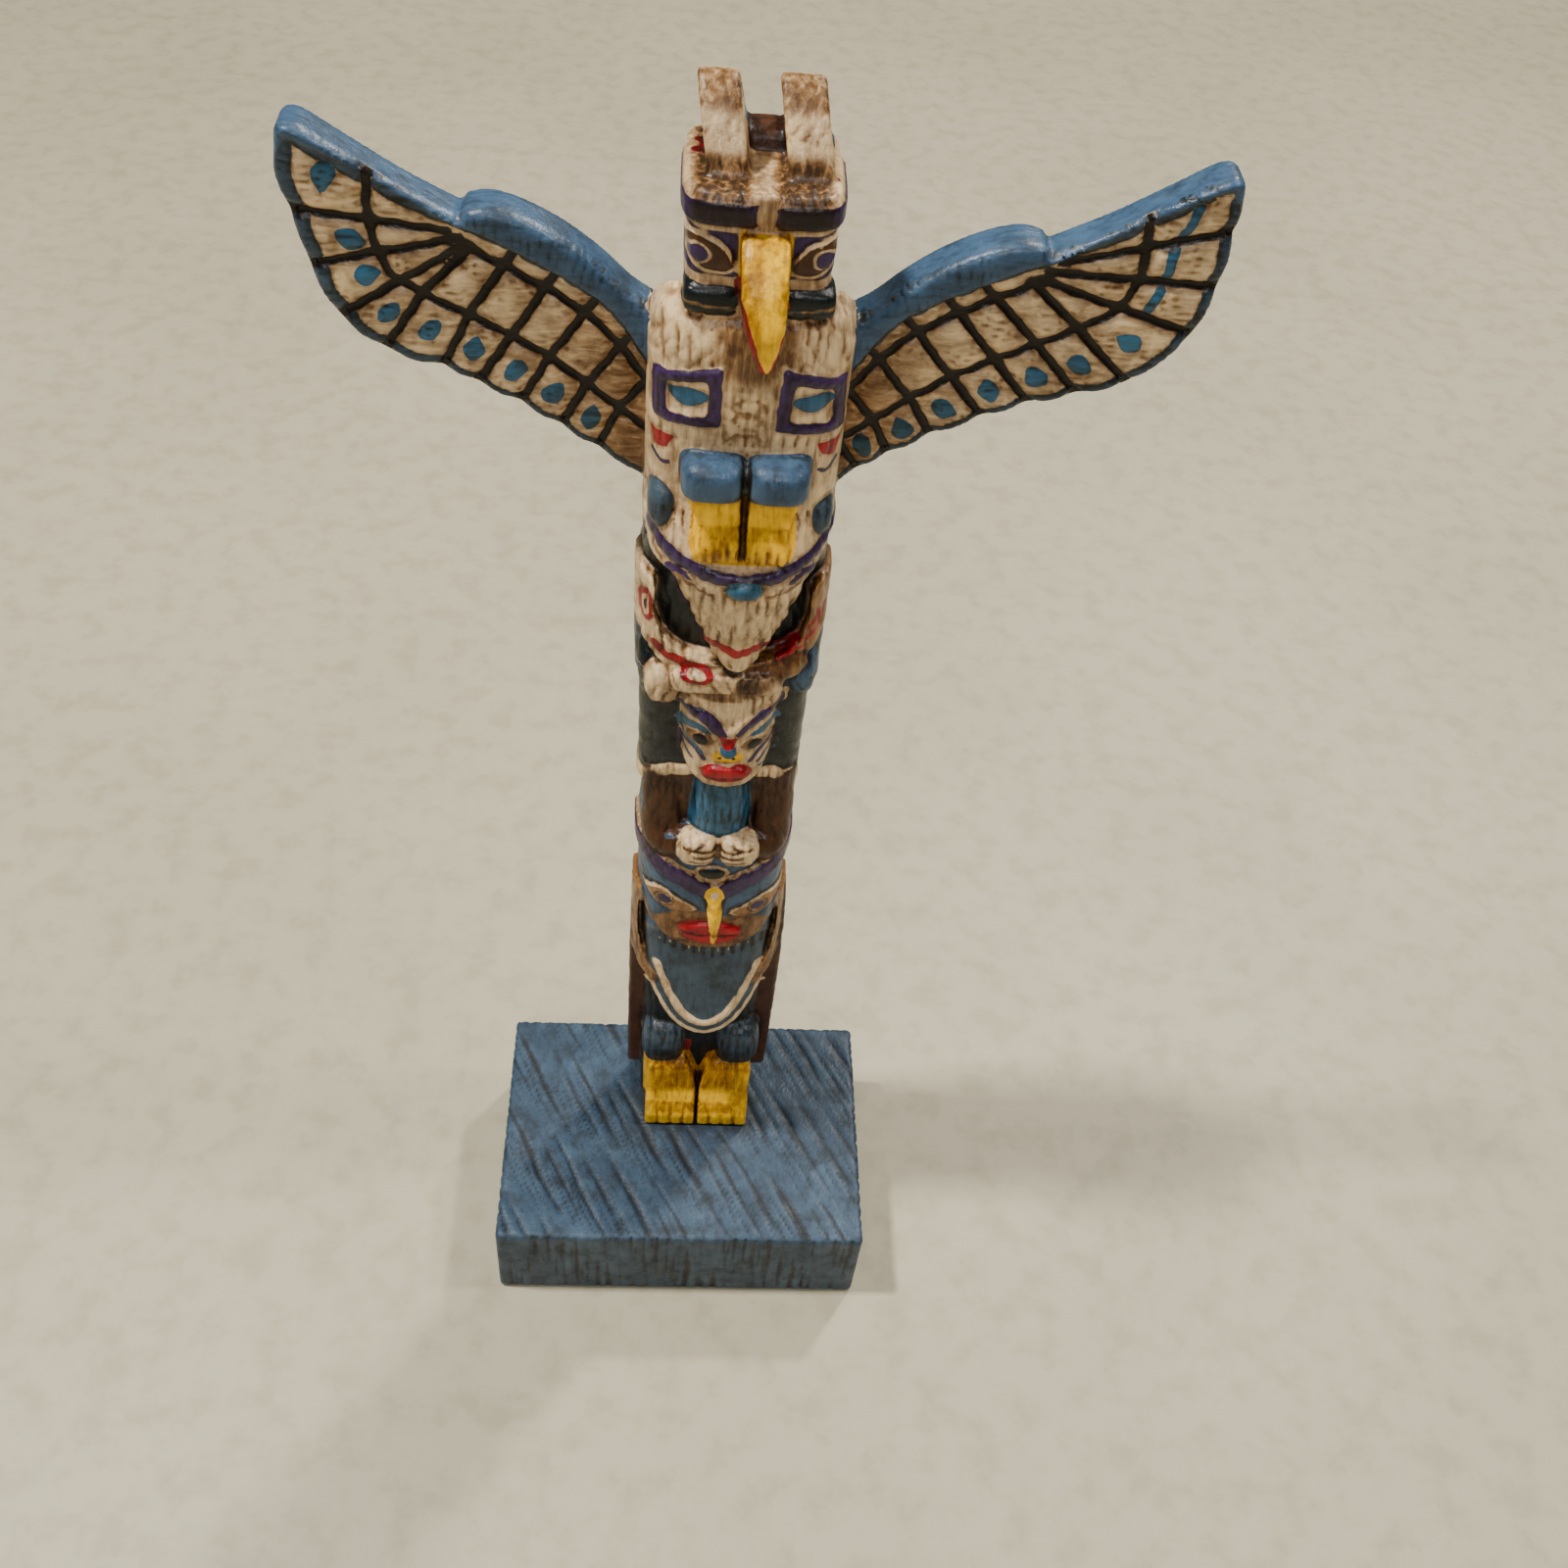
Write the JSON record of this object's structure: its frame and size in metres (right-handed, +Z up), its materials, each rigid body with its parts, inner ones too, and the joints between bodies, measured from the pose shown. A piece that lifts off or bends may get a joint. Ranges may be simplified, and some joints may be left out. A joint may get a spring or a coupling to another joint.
{
  "type": "totem pole",
  "caption": "Carved and painted souvenir totem pole with stacked figures, a thunderbird with spread wings on top, standing on a grooved block base.",
  "frame": {"origin": "centre of the overall box's footprint, on the underside of the base", "axes": "+Z up along the pole, X across the spread wings with +X at the viewer's right, -Y towards the viewer"},
  "size_m": [0.1239, 0.054, 0.2555],
  "materials": {
    "carving": "hand-painted cast resin, low gloss",
    "base": "painted cast resin, low gloss, brushed blue"
  },
  "bodies": {
    "root": {"totem_pole": "carving", "base": "base"}
  },
  "joints": []
}
